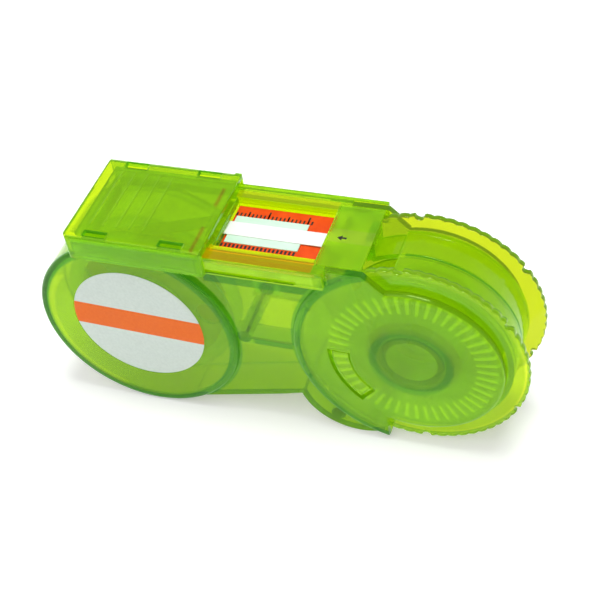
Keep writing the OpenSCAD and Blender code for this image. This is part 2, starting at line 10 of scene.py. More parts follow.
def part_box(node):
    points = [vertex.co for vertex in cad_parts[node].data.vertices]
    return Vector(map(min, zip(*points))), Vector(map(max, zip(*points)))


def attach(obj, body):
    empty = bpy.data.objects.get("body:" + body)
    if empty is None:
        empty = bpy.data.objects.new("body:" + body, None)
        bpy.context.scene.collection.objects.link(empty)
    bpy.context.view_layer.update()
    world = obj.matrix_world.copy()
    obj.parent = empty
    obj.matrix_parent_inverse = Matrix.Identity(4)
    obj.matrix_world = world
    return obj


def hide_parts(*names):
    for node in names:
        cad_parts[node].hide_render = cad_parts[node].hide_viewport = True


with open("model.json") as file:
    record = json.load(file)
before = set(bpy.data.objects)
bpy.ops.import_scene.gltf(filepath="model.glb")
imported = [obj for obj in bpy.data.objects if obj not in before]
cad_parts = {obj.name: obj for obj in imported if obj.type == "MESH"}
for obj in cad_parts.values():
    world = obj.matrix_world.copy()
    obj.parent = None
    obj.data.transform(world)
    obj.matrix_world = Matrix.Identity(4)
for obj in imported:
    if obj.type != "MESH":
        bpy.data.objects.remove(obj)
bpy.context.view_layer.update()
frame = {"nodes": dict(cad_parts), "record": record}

NODES = frame["nodes"]
RECORD = frame["record"]
BODY_OF = {name: body
           for body, names in RECORD["behaviour"]["bodies"].items() for name in names}
MM = 0.001

# The axes of the supply end and of the thumbwheel as (x, z), and the two printed faces, in metres
SUPPLY_AXIS = (-0.036, 0.0267)
WHEEL_AXIS = (0.0349, 0.0293)
DECK_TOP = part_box("top_deck")[1].z
PLATE_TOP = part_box("scale_plate")[1].z
CLICK_RIBS = 48


def rgb(red, green, blue):
    """An sRGB colour, 0 to 255, as a linear one."""
    def lin(level):
        part = level / 255
        return part / 12.92 if part <= 0.04045 else ((part + 0.055) / 1.055) ** 2.4
    return (lin(red), lin(green), lin(blue), 1.0)


# ---------------------------------------------------------------- node helpers

def set_values(node, values):
    for key, value in values.items():
        node.inputs[key].default_value = value


def feed(tree, socket, value):
    """Links a socket, or sets a plain value on it."""
    if isinstance(value, (int, float, tuple, list)):
        socket.default_value = value
    else:
        tree.links.new(value, socket)


def calculate(tree, operation, a, b=None, clamp=False):
    node = tree.nodes.new("ShaderNodeMath")
    node.operation = operation
    node.use_clamp = clamp
    feed(tree, node.inputs[0], a)
    if b is not None:
        feed(tree, node.inputs[1], b)
    return node.outputs[0]


def times(tree, a, b):
    return calculate(tree, "MULTIPLY", a, b)


def plus(tree, a, b, clamp=False):
    return calculate(tree, "ADD", a, b, clamp)


# The range that holds most of a noise's values
MOST_OF_NOISE = (0.3, 0.7)


def spread(tree, value, low, high, to_low=0.0, to_high=1.0, smooth=False):
    """Maps the values from low to high on another range, and holds its ends outside."""
    node = tree.nodes.new("ShaderNodeMapRange")
    node.interpolation_type = "SMOOTHSTEP" if smooth else "LINEAR"
    feed(tree, node.inputs["Value"], value)
    feed(tree, node.inputs["From Min"], low)
    feed(tree, node.inputs["From Max"], high)
    feed(tree, node.inputs["To Min"], to_low)
    feed(tree, node.inputs["To Max"], to_high)
    return node.outputs["Result"]


def blend_colours(tree, mask, a, b):
    node = tree.nodes.new("ShaderNodeMix")
    node.data_type = "RGBA"
    feed(tree, node.inputs["Factor"], mask)
    for name, value in (("A", a), ("B", b)):
        socket = [s for s in node.inputs if s.name == name and s.type == "RGBA"][0]
        feed(tree, socket, value)
    return [s for s in node.outputs if s.type == "RGBA"][0]


def noise(tree, coords, scale, detail=3.0, roughness=0.5, distortion=0.0):
    node = tree.nodes.new("ShaderNodeTexNoise")
    tree.links.new(coords, node.inputs["Vector"])
    feed(tree, node.inputs["Scale"], scale)
    feed(tree, node.inputs["Detail"], detail)
    feed(tree, node.inputs["Roughness"], roughness)
    feed(tree, node.inputs["Distortion"], distortion)
    return node.outputs["Fac"]


def bump(tree, height, strength, distance):
    node = tree.nodes.new("ShaderNodeBump")
    set_values(node, {"Strength": strength, "Distance": distance})
    tree.links.new(height, node.inputs["Height"])
    return node.outputs["Normal"]


def new_group(name, inputs, outputs):
    """A shader node group with float and vector inputs and float outputs."""
    tree = bpy.data.node_groups.new(name, "ShaderNodeTree")
    for label, kind, value in inputs:
        socket = tree.interface.new_socket(name=label, in_out="INPUT", socket_type=kind)
        if value is not None:
            socket.default_value = value
    for label in outputs:
        tree.interface.new_socket(name=label, in_out="OUTPUT", socket_type="NodeSocketFloat")
    entry = tree.nodes.new("NodeGroupInput")
    leave = tree.nodes.new("NodeGroupOutput")
    return tree, entry.outputs, leave.inputs


def place_group(tree, group, **values):
    node = tree.nodes.new("ShaderNodeGroup")
    node.node_tree = group
    for key, value in values.items():
        feed(tree, node.inputs[key.replace("_", " ")], value)
    return node.outputs


# ---------------------------------------------------------------- shared effects

def make_moulding_marks():
    """Slow flow of the melt through the mould, and the fine grain of the mould's own surface."""
    tree, given, out = new_group(
        "moulding_marks",
        [("Vector", "NodeSocketVector", None), ("Flow Scale", "NodeSocketFloat", 45.0),
         ("Grain Scale", "NodeSocketFloat", 900.0)],
        ["Flow", "Grain", "Height"])
    sink_finer, grain_share = 3.0, 0.12
    place = given["Vector"]
    flow = noise(tree, place, given["Flow Scale"], detail=4.0, roughness=0.55, distortion=0.6)
    grain = noise(tree, place, given["Grain Scale"], detail=2.0)
    sink_scale = times(tree, given["Flow Scale"], sink_finer)
    sink_marks = noise(tree, place, sink_scale, detail=2.0)
    tree.links.new(flow, out["Flow"])
    tree.links.new(grain, out["Grain"])
    tree.links.new(plus(tree, sink_marks, times(tree, grain, grain_share)), out["Height"])
    return tree


# How the noise of each run of scratches is turned, in radians, and drawn out
SCRATCH_RUNS = (
    ((0.3, 0.5, 0.4), (1.0, 26.0, 26.0)),
    ((0.2, -0.6, 1.3), (24.0, 1.0, 24.0)),
)


def make_handling_scratches():
    """Short fine scratches in two directions, as a mask."""
    tree, given, out = new_group(
        "handling_scratches",
        [("Vector", "NodeSocketVector", None), ("Scale", "NodeSocketFloat", 120.0),
         ("Amount", "NodeSocketFloat", 0.5)],
        ["Scratches"])
    found = []
    for turn, stretch in SCRATCH_RUNS:
        mapping = tree.nodes.new("ShaderNodeMapping")
        tree.links.new(given["Vector"], mapping.inputs["Vector"])
        set_values(mapping, {"Rotation": turn, "Scale": stretch})
        lines = noise(tree, mapping.outputs["Vector"], given["Scale"], detail=1.0)
        found.append(spread(tree, lines, low=0.68, high=0.74))
    both = calculate(tree, "MAXIMUM", found[0], found[1])
    tree.links.new(times(tree, both, given["Amount"]), out["Scratches"])
    return tree


def make_band():
    """A mask that is 1 between two values, with soft sides."""
    tree, given, out = new_group(
        "band",
        [("Value", "NodeSocketFloat", 0.0), ("Low", "NodeSocketFloat", 0.0),
         ("High", "NodeSocketFloat", 1.0), ("Soft", "NodeSocketFloat", 0.0002)],
        ["Mask"])
    half = times(tree, given["Soft"], 0.5)
    sides = []
    for key, before, after in (("Low", 0.0, 1.0), ("High", 1.0, 0.0)):
        start = calculate(tree, "SUBTRACT", given[key], half)
        end = plus(tree, given[key], half)
        sides.append(spread(tree, given["Value"], start, end, before, after, smooth=True))
    tree.links.new(times(tree, sides[0], sides[1]), out["Mask"])
    return tree


def make_reach():
    """The distance from an axis that runs along Y, and the turn about it."""
    tree, given, out = new_group(
        "reach",
        [("X", "NodeSocketFloat", 0.0), ("Z", "NodeSocketFloat", 0.0),
         ("Axis X", "NodeSocketFloat", 0.0), ("Axis Z", "NodeSocketFloat", 0.0)],
        ["Reach", "Turn"])
    dx = calculate(tree, "SUBTRACT", given["X"], given["Axis X"])
    dz = calculate(tree, "SUBTRACT", given["Z"], given["Axis Z"])
    squares = plus(tree, times(tree, dx, dx), times(tree, dz, dz))
    tree.links.new(calculate(tree, "SQRT", squares), out["Reach"])
    tree.links.new(calculate(tree, "ARCTAN2", dz, dx), out["Turn"])
    return tree


MOULDING_MARKS = make_moulding_marks()
HANDLING_SCRATCHES = make_handling_scratches()
BAND = make_band()
REACH = make_reach()


def new_finish(name):
    """A material with its Principled shader and its Object coordinates, whole and split."""
    mat = bpy.data.materials.new(name)
    mat.use_nodes = True
    tree = mat.node_tree
    tree.nodes.clear()
    out = tree.nodes.new("ShaderNodeOutputMaterial")
    shader = tree.nodes.new("ShaderNodeBsdfPrincipled")
    tree.links.new(shader.outputs["BSDF"], out.inputs["Surface"])
    coords = tree.nodes.new("ShaderNodeTexCoord").outputs["Object"]
    split = tree.nodes.new("ShaderNodeSeparateXYZ")
    tree.links.new(coords, split.inputs[0])
    return mat, tree, shader, out, coords, dict(zip("xyz", split.outputs))


def band_mask(tree, value, limits, soft):
    """A mask between two limits, in millimetres."""
    return place_group(tree, BAND, Value=value, Low=limits[0] * MM, High=limits[1] * MM,
                       Soft=soft * MM)["Mask"]


def zone_mask(tree, axes, bounds, soft):
    """A mask over a box: bounds maps x, y and z to (low, high) in millimetres."""
    mask = None
    for axis, limits in bounds.items():
        part = band_mask(tree, axes[axis], limits, soft)
        mask = part if mask is None else times(tree, mask, part)
    return mask


def about(tree, axes, place):
    """The distance from an axis along Y and the turn about it."""
    return place_group(tree, REACH, X=axes["x"], Z=axes["z"], Axis_X=place[0], Axis_Z=place[1])


# How soft a ring's two sides are, and the sides of the box that it keeps to, in millimetres
RING_SIDE_SOFT, KEPT_SOFT = 0.1, 2.0


def ring_mask(tree, axes, ring):
    """A mask over a ring about an axis along Y, or over its part in the box that it keeps to."""
    reach = about(tree, axes, ring.axis)["Reach"]
    mask = times(tree, band_mask(tree, reach, ring.radii, ring.soft),
                 band_mask(tree, axes["y"], ring.across, RING_SIDE_SOFT))
    if ring.keeps_to:
        mask = times(tree, mask, zone_mask(tree, axes, ring.keeps_to, KEPT_SOFT))
    return mask


# ---------------------------------------------------------------- clear green plastic

# A zone is a box and a ring goes about an axis along Y. In both the plastic shows another tint and
# painted glow, which paint light and shade on it.
# They are in millimetres, apart from the axis.
Dye = namedtuple("Dye", "tint glow")
Zone = namedtuple("Zone", "bounds soft dye")
Ring = namedtuple("Ring", "axis radii across soft dye keeps_to", defaults=(None,))


def dye(tint, glow):
    """The plastic's tint and a weak painted glow that stands in for light through it, both linear.
    """
    return Dye(tint + (1.0,), glow + (1.0,))


def dimmed(colour, share):
    return tuple(share * v for v in colour[:3]) + (1.0,)


LIME_TINT = (0.68, 0.73, 0.02)
# Lime with a painted glow; the deck, shutter and wheels get a brighter painted glow, the guard the
# brightest
LIME = dye(LIME_TINT, (0.040, 0.086, 0.001))
LIME_BRIGHTER_PAINTED_GLOW = dye(LIME_TINT, (0.058, 0.122, 0.001))
GUARD_LIME_PAINTED_GLOW = dye(LIME_TINT, (0.078, 0.146, 0.001))
# Painted shade where a wall is seen end on, on openings and on hubs
DEEP_PAINTED_SHADE = dye((0.20, 0.46, 0.02), (0.006, 0.052, 0.003))
# Painted shade in the groove along the deck's front rail
GROOVE_PAINTED_SHADE = dye((0.05, 0.15, 0.005), (0.010, 0.050, 0.001))

# Painted light on the deck: the amber and yellow that the orange plate and the tray under the
# window show through it beside the window
AMBER_STRIP = dye((0.64, 0.15, 0.01), (0.38, 0.105, 0.0))
YELLOW_WALL = dye((0.90, 0.72, 0.02), (0.26, 0.20, 0.0))
YELLOW_EDGE = dye((0.92, 0.90, 0.0), (0.24, 0.27, 0.0))
OCHRE_STRIP = dye((0.82, 0.62, 0.03), (0.22, 0.17, 0.0))
REAR_RAIL = dye((0.86, 0.86, 0.06), (0.05, 0.08, 0.0))
BRIGHT_END = dye((0.62, 0.76, 0.01), (0.085, 0.19, 0.0))
TAPE_BELOW = dye((0.78, 0.70, 0.08), (0.15, 0.20, 0.02))
RAIL_FACE = dye((0.85, 0.84, 0.06), (0.12, 0.19, 0.006))

# Thin bands about the faces that the zones lie on
DECK_Z = (55.9, 56.2)
RAIL_Y = (-13.9, -13.5)
GROOVE_Z = (51.7, 52.3)
WAIST_Y = (-11.1, -10.7)
SHELL_Y = (-12.6, -10.6)

# Painted light also on the deck's rear rail, on its right end, over the tape below and on its
# front rail's face
DECK_ZONES = [
    Zone(dict(x=(-12.9, 13.6), y=(-13.3, -9.7), z=DECK_Z), 0.6, AMBER_STRIP),
    Zone(dict(x=(-12.6, 13.3), y=(-9.8, -8.5), z=(53.4, 56.2)), 0.3, YELLOW_WALL),
    Zone(dict(x=(-12.2, 13.4), y=(8.5, 8.75), z=(53.2, 56.2)), 0.1, YELLOW_EDGE),
    Zone(dict(x=(-12.4, 13.4), y=(8.75, 11.2), z=DECK_Z), 0.5, OCHRE_STRIP),
    Zone(dict(x=(-12.4, 9.0), y=(11.4, 13.6), z=DECK_Z), 0.4, REAR_RAIL),
    Zone(dict(x=(13.7, 26.0), y=(-10.4, 10.4), z=DECK_Z), 0.4, BRIGHT_END),
    Zone(dict(x=(14.0, 25.4), y=(-2.2, 2.2), z=DECK_Z), 0.8, TAPE_BELOW),
    Zone(dict(x=(-12.9, 14.0), y=RAIL_Y, z=(52.5, 55.6)), 0.6, RAIL_FACE),
    Zone(dict(x=(-12.8, 3.6), y=RAIL_Y, z=GROOVE_Z), 0.2, GROOVE_PAINTED_SHADE),
    Zone(dict(x=(4.5, 9.3), y=RAIL_Y, z=GROOVE_Z), 0.2, GROOVE_PAINTED_SHADE),
]
FROSTED_END = dict(x=(13.9, 26.0), y=(-10.3, 10.3), z=(54.0, 56.5))

# Painted on the shutter: the amber that the plate's end shows through it, and painted shade on the
# openings over its lugs and on its front skirt
SCREENED_AMBER = dye((0.70, 0.42, 0.06), (0.05, 0.03, 0.0))
SKIRT_PAINTED_SHADE = dye((0.52, 0.68, 0.02), (0.022, 0.066, 0.002))
SHUTTER_ZONES = [
    Zone(dict(x=(-15.4, -14.5), y=y, z=(57.0, 58.6)), 0.5, SCREENED_AMBER)
    for y in ((-14.2, -5.6), (2.0, 8.5))
] + [
    Zone(dict(x=x, y=y, z=(56.9, 58.38)), 0.1, DEEP_PAINTED_SHADE)
    for x in ((-43.2, -37.05), (-23.7, -17.55)) for y in ((-14.0, -11.75), (11.75, 14.0))
] + [
    Zone(dict(y=(-15.6, -13.9), z=(50.8, 57.9)), 0.5, SKIRT_PAINTED_SHADE),
]

# Painted light and shade on the front shell's waist and over the wheel, from what lies behind each
# part of it
WAIST_LEFT_SHADE = dye((0.40, 0.58, 0.02), (0.020, 0.062, 0.001))
WHEEL_COVER_LIGHT = dye((0.70, 0.76, 0.02), (0.058, 0.122, 0.001))
UNDER_RAIL_SHADE = dye((0.04, 0.20, 0.01), (0.004, 0.050, 0.003))
OPEN_PANEL_LIGHT = dye((0.74, 0.82, 0.01), (0.10, 0.14, 0.0))
ABOVE_RIB = dye((0.54, 0.68, 0.01), (0.030, 0.078, 0.001))
BELOW_RIB = dye((0.46, 0.63, 0.01), (0.030, 0.080, 0.001))
RIB_ROOT_SHADE = dye((0.07, 0.28, 0.02), (0.004, 0.050, 0.003))
LOW_PEG = dye(LIME_TINT, (0.050, 0.175, 0.002))
TOP_PEG = dye((0.08, 0.26, 0.01), (0.072, 0.235, 0.003))
CASE_ZONES = [
    Zone(dict(x=(-14.0, -2.2), y=WAIST_Y, z=(27.0, 47.0)), 2.0, WAIST_LEFT_SHADE),
    Zone(dict(x=(16.0, 66.0), y=(-12.6, -12.1), z=(38.0, 66.0)), 9.0, WHEEL_COVER_LIGHT),
    Zone(dict(x=(-15.0, 14.5), y=WAIST_Y, z=(46.0, 49.4)), 0.5, UNDER_RAIL_SHADE),
    Zone(dict(x=(-1.5, 7.0), y=WAIST_Y, z=(33.2, 44.5)), 1.5, OPEN_PANEL_LIGHT),
    Zone(dict(x=(-5.5, 9.0), y=WAIST_Y, z=(27.8, 33.0)), 0.8, ABOVE_RIB),
    Zone(dict(x=(-16.0, 16.0), y=WAIST_Y, z=(3.0, 26.8)), 1.5, BELOW_RIB),
    Zone(dict(x=(-8.6, 9.0), y=WAIST_Y, z=(26.4, 28.1)), 0.5, RIB_ROOT_SHADE),
    Zone(dict(x=(-9.4, -5.2), y=WAIST_Y, z=(26.2, 30.2)), 1.2, LOW_PEG),
    Zone(dict(x=(-2.2, 4.2), y=WAIST_Y, z=(44.8, 49.2)), 1.5, TOP_PEG),
]
# Painted shade on both discs' rims and round the wheel's journal, and painted light on the supply
# end's wall
END_WALL_PAINTED_LIGHT = dye((0.86, 0.82, 0.02), (0.10, 0.13, 0.0))
JOURNAL_PAINTED_SHADE = dye((0.36, 0.56, 0.02), (0.018, 0.062, 0.002))
CASE_RINGS = [
    Ring(SUPPLY_AXIS, (24.5, 27.4), SHELL_Y, 0.5, DEEP_PAINTED_SHADE),
    Ring(SUPPLY_AXIS, (22.6, 24.2), (-12.6, -12.2), 0.6, END_WALL_PAINTED_LIGHT,
         dict(x=(-66.0, -44.0), z=(2.0, 42.0))),
    Ring(WHEEL_AXIS, (27.1, 30.0), SHELL_Y, 0.5, DEEP_PAINTED_SHADE),
    Ring(WHEEL_AXIS, (8.3, 10.3), (-12.6, -10.4), 1.0, JOURNAL_PAINTED_SHADE),
]

# Painted shade on the front wheel's hub and rim, painted light on the rim's face, and painted
# highlights on the ribs that the pawl clicks over
RIM_FACE_PAINTED_LIGHT = dye((0.85, 0.78, 0.06), (0.080, 0.125, 0.004))
LIT_RIB = dye((0.90, 0.90, 0.08), (0.30, 0.42, 0.005))
FRONT_WHEEL_RINGS = [
    Ring(WHEEL_AXIS, (7.9, 10.3), (-10.3, -9.9), 0.7, DEEP_PAINTED_SHADE),
    Ring(WHEEL_AXIS, (26.4, 29.6), (-10.3, -8.3), 0.3, RIM_FACE_PAINTED_LIGHT),
    Ring(WHEEL_AXIS, (26.9, 31.5), (-8.85, -8.3), 0.3, DEEP_PAINTED_SHADE),
]
CLICK_RING = Ring(WHEEL_AXIS, (15.5, 20.6), (-10.5, -9.9), 0.2, LIT_RIB)

# Painted light on the rear wheel's flange, which the case doesn't cover, makes it the palest part
FLANGE_PAINTED_LIGHT = dye((0.80, 0.66, 0.14), (0.075, 0.065, 0.008))
REAR_WHEEL_RINGS = [Ring(WHEEL_AXIS, (13.0, 29.4), (8.3, 8.8), 0.4, FLANGE_PAINTED_LIGHT)]

# The joint between the guard's halves
GUARD_JOINT = dye((0.32, 0.52, 0.02), (0.026, 0.084, 0.002))
GUARD_ZONES = [Zone(dict(x=(32.0, 61.0), y=(-0.5, 0.3), z=(2.0, 56.0)), 0.3, GUARD_JOINT)]

ABSORBED = {"Color": (0.757, 0.886, 0.0, 1), "Density": 900}
# The emission strength of 1 shows the painted glow at its set colour
CLEAR_GLOSS = {"IOR": 1.4, "Transmission Weight": 0.95, "Specular IOR Level": 0.5,
               "Specular Tint": (0.75, 1.0, 0.4, 1), "Emission Strength": 1.0}
# How far the flow of the melt dims the tint and the painted glow
TINT_DIMMED, GLOW_DIMMED = 0.93, 0.8
# Roughness that frosting and scratches add, and how far the grain varies it
FROSTED_ROUGHNESS, SCRATCHED_ROUGHNESS = 0.28, 0.2
MOULDED_PLAY, GRAINED_PLAY = 0.03, 0.07
FROSTED_SOFT = 0.8


def click_rib_highlight_mask(tree, axes):
    turn = about(tree, axes, WHEEL_AXIS)["Turn"]
    wave = calculate(tree, "COSINE", times(tree, turn, float(CLICK_RIBS)))
    return times(tree, spread(tree, wave, low=0.1, high=0.7, smooth=True),
                 ring_mask(tree, axes, CLICK_RING))


def moulded_green(name, own, roughness, zones=(), rings=(), frosted=None, click_ribs=False):
    """Clear lime plastic with a weak painted glow that stands in for light through it. Zones and
    rings paint light and shade on it in other tints and glows, and a frosted box hides what lies
    under it."""
    mat, tree, shader, out, coords, axes = new_finish(name)
    marks = place_group(tree, MOULDING_MARKS, Vector=coords)
    scratches = place_group(tree, HANDLING_SCRATCHES, Vector=coords, Amount=0.6)["Scratches"]
    tint = blend_colours(tree, spread(tree, marks["Flow"], low=0.35, high=0.65),
                         dimmed(own.tint, TINT_DIMMED), own.tint)
    glow = blend_colours(tree, spread(tree, marks["Flow"], *MOST_OF_NOISE),
                         dimmed(own.glow, GLOW_DIMMED), own.glow)
    painted = [(zone_mask(tree, axes, zone.bounds, zone.soft), zone.dye) for zone in zones]
    painted += [(ring_mask(tree, axes, ring), ring.dye) for ring in rings]
    if click_ribs:
        painted.append((click_rib_highlight_mask(tree, axes), CLICK_RING.dye))
    for mask, other in painted:
        tint = blend_colours(tree, mask, tint, other.tint)
        glow = blend_colours(tree, mask, glow, other.glow)
    tree.links.new(tint, shader.inputs["Base Color"])
    tree.links.new(glow, shader.inputs["Emission Color"])
    rough = spread(tree, marks["Grain"], *MOST_OF_NOISE,
                   roughness - MOULDED_PLAY, roughness + MOULDED_PLAY)
    rough = plus(tree, rough, times(tree, scratches, SCRATCHED_ROUGHNESS))
    if frosted:
        mask = zone_mask(tree, axes, frosted, FROSTED_SOFT)
        rough = plus(tree, rough, times(tree, mask, FROSTED_ROUGHNESS))
    normal = bump(tree, marks["Height"], strength=0.1, distance=0.06 * MM)
    tree.links.new(rough, shader.inputs["Roughness"])
    tree.links.new(normal, shader.inputs["Normal"])
    set_values(shader, CLEAR_GLOSS)
    fill = tree.nodes.new("ShaderNodeVolumeAbsorption")
    set_values(fill, ABSORBED)
    tree.links.new(fill.outputs["Volume"], out.inputs["Volume"])
    return mat


GREEN_CASE = moulded_green("green_case", LIME, roughness=0.09,
                           zones=CASE_ZONES, rings=CASE_RINGS)
GREEN_DECK = moulded_green("green_deck", LIME_BRIGHTER_PAINTED_GLOW, roughness=0.1,
                           zones=DECK_ZONES, frosted=FROSTED_END)
GREEN_SHUTTER = moulded_green("green_shutter", LIME_BRIGHTER_PAINTED_GLOW, roughness=0.1, zones=SHUTTER_ZONES)
GREEN_WHEEL = moulded_green("green_wheel", LIME_BRIGHTER_PAINTED_GLOW, roughness=0.08,
                            rings=FRONT_WHEEL_RINGS, click_ribs=True)
GREEN_REAR_WHEEL = moulded_green("green_rear_wheel", LIME_BRIGHTER_PAINTED_GLOW, roughness=0.08,
                                 rings=REAR_WHEEL_RINGS)
GREEN_GUARD = moulded_green("green_guard", GUARD_LIME_PAINTED_GLOW, roughness=0.08, zones=GUARD_ZONES)
GREEN_SPOOL = moulded_green("green_spool", LIME, roughness=0.1)


# ---------------------------------------------------------------- other finishes

def grained_finish(name, light, dark, roughness, scale=400.0, depth=0.05, metallic=0.0, gloss=0.5):
    """A plain finish with the grain of its mould or mill; the grain's depth is in millimetres."""
    mat, tree, shader, _, coords, _ = new_finish(name)
    marks = place_group(tree, MOULDING_MARKS, Vector=coords, Flow_Scale=scale / 6,
                        Grain_Scale=scale)
    scratches = place_group(tree, HANDLING_SCRATCHES, Vector=coords, Amount=0.3)["Scratches"]
    grain_share, flow_share = 0.6, 0.4
    mottle = plus(tree, times(tree, marks["Grain"], grain_share),
                  times(tree, marks["Flow"], flow_share))
    colour = blend_colours(tree, spread(tree, mottle, *MOST_OF_NOISE), dark, light)
    rough = spread(tree, marks["Grain"], *MOST_OF_NOISE,
                   roughness - GRAINED_PLAY, roughness + GRAINED_PLAY)
    rough = plus(tree, rough, times(tree, scratches, SCRATCHED_ROUGHNESS), clamp=True)
    normal = bump(tree, marks["Grain"], strength=0.3, distance=depth * MM)
    tree.links.new(colour, shader.inputs["Base Color"])
    tree.links.new(rough, shader.inputs["Roughness"])
    tree.links.new(normal, shader.inputs["Normal"])
    set_values(shader, {"Metallic": metallic, "IOR": 1.5, "Specular IOR Level": gloss})
    return mat


def waves(tree, value, pitch):
    """A wave from 0 to 1 that repeats at a pitch, in millimetres."""
    wave = calculate(tree, "SINE", times(tree, value, 2 * math.pi / (pitch * MM)))
    return spread(tree, wave, low=-1.0, high=1.0)


TAPE_ROUGHNESS = (0.75, 0.95)


def woven_tape(name):
    """Lint-free cloth: fine threads along and across."""
    mat, tree, shader, _, coords, axes = new_finish(name)
    thread_pitch = 0.22
    weave = times(tree, waves(tree, axes["x"], thread_pitch), waves(tree, axes["y"], thread_pitch))
    fluff = noise(tree, coords, scale=1600.0)
    shade = plus(tree, times(tree, weave, 0.5), times(tree, fluff, 0.5))
    colour = blend_colours(tree, shade, rgb(226, 230, 228), rgb(248, 250, 248))
    rough = spread(tree, fluff, *MOST_OF_NOISE, *TAPE_ROUGHNESS)
    normal = bump(tree, shade, strength=0.4, distance=0.04 * MM)
    tree.links.new(colour, shader.inputs["Base Color"])
    tree.links.new(rough, shader.inputs["Roughness"])
    tree.links.new(normal, shader.inputs["Normal"])
    set_values(shader, {"IOR": 1.5, "Sheen Weight": 0.2})
    return mat


def wound_tape(name, place):
    """The turns of the tape, which show as uneven rings on the roll's sides."""
    mat, tree, shader, _, coords, axes = new_finish(name)
    turn_pitch, unevenness = 0.5, 0.6 * MM
    uneven = times(tree, noise(tree, coords, scale=60.0, detail=2.0), unevenness)
    rings = waves(tree, plus(tree, about(tree, axes, place)["Reach"], uneven), turn_pitch)
    colour = blend_colours(tree, rings, rgb(206, 212, 208), rgb(242, 245, 242))
    rough = spread(tree, noise(tree, coords, scale=900.0), *MOST_OF_NOISE, *TAPE_ROUGHNESS)
    normal = bump(tree, rings, strength=0.5, distance=0.08 * MM)
    tree.links.new(colour, shader.inputs["Base Color"])
    tree.links.new(rough, shader.inputs["Roughness"])
    tree.links.new(normal, shader.inputs["Normal"])
    set_values(shader, {"IOR": 1.5})
    return mat


# The label's orange band: its limits in z at the label's left end, how far left of the origin
# that end is, and how much the band falls towards the wheel
LABEL_BAND, LABEL_BAND_SOFT = (25.9, 33.3), 0.12
LABEL_LEFT = 52.4 * MM
LABEL_FALL = 0.04


def film_label(name):
    """White film label with a plain orange band."""
    mat, tree, shader, _, coords, axes = new_finish(name)
    marks = place_group(tree, MOULDING_MARKS, Vector=coords, Flow_Scale=90.0, Grain_Scale=1500.0)
    white = blend_colours(tree, marks["Grain"], rgb(214, 221, 218), rgb(232, 238, 235))
    orange = blend_colours(tree, marks["Grain"], rgb(246, 104, 20), rgb(255, 120, 32))
    slope = times(tree, plus(tree, axes["x"], LABEL_LEFT), LABEL_FALL)
    band = band_mask(tree, plus(tree, axes["z"], slope), LABEL_BAND, LABEL_BAND_SOFT)
    colour = blend_colours(tree, band, white, orange)
    rough = spread(tree, marks["Flow"], *MOST_OF_NOISE, to_low=0.3, to_high=0.42)
    normal = bump(tree, marks["Height"], strength=0.15, distance=0.03 * MM)
    tree.links.new(colour, shader.inputs["Base Color"])
    tree.links.new(rough, shader.inputs["Roughness"])
    tree.links.new(normal, shader.inputs["Normal"])
    set_values(shader, {"IOR": 1.5, "Specular IOR Level": 0.2})
    return mat


ORANGE = grained_finish("orange_plate", rgb(230, 80, 16), rgb(212, 62, 10),
                        roughness=0.5, gloss=0.2)
PAD = grained_finish("pad_rubber", rgb(208, 234, 216), rgb(190, 222, 202), roughness=0.7)
TAPE = woven_tape("white_tape")
FRESH_ROLL = wound_tape("fresh_roll", SUPPLY_AXIS)
USED_ROLL = wound_tape("used_roll", WHEEL_AXIS)
ROLLER = grained_finish("white_roller", rgb(214, 226, 208), rgb(200, 214, 192), roughness=0.45)
FELT = grained_finish("grey_felt", rgb(150, 154, 154), rgb(106, 110, 110),
                      roughness=0.9, scale=1200.0, depth=0.2)
STEEL = grained_finish("spring_steel", rgb(205, 206, 208), rgb(180, 182, 185),
                       roughness=0.25, scale=700.0, depth=0.02, metallic=1.0)
LABEL = film_label("label_paper")
PRINT = grained_finish("black_print", rgb(34, 22, 18), rgb(22, 14, 12),
                       roughness=0.5, scale=1400.0, depth=0.01)

FINISH = {
    GREEN_CASE: ["front_shell", "rear_shell", "click_pawl"],
    GREEN_DECK: ["top_deck"],
    GREEN_SHUTTER: ["sliding_shutter"],
    GREEN_WHEEL: ["thumbwheel_front"],
    GREEN_REAR_WHEEL: ["thumbwheel_rear"],
    GREEN_GUARD: ["wheel_guard_front", "wheel_guard_rear"],
    GREEN_SPOOL: ["supply_spool", "supply_spool_cover", "take_up_spool"],
    ORANGE: ["scale_plate"],
    PAD: ["platen_pad"],
    TAPE: ["cleaning_tape"],
    FRESH_ROLL: ["fresh_tape_roll"],
    USED_ROLL: ["used_tape_roll"],
    ROLLER: ["guide_roller_left", "guide_roller_right"],
    FELT: ["drag_felt"],
    STEEL: ["drag_spring", "guide_pin_left", "guide_pin_right"],
    LABEL: ["front_label"],
}
for finish, names in FINISH.items():
    for name in names:
        NODES[name].data.materials.clear()
        NODES[name].data.materials.append(finish)


# ---------------------------------------------------------------- moulded edges

MERGE_WITHIN = 0.002 * MM
FLAT_ANGLE = math.radians(0.5)
CURVE_ANGLE = math.radians(28)
CREASE_ANGLE = math.radians(35)
LARGEST_CURVED_FACE = 25 * MM * MM
# The room that a rounding needs, in its own widths: on the faces beside it, and on the edges that
# run into it
FACE_ROOM, EDGE_ROOM = 1.2, 2.3
ROOM_PASSES = 6
# Roundings that may meet at each end of a short edge
MEETING_ROUNDINGS = 2
ROUNDING_SEGMENTS = 2
AREA_WEIGHT = 90


def face_reach(edge, face):
    """How far a face reaches from one of its edges, square to it."""
    start = edge.verts[0].co
    line = (edge.verts[1].co - start).normalized()
    return max((v.co - start - line * (v.co - start).dot(line)).length for v in face.verts)


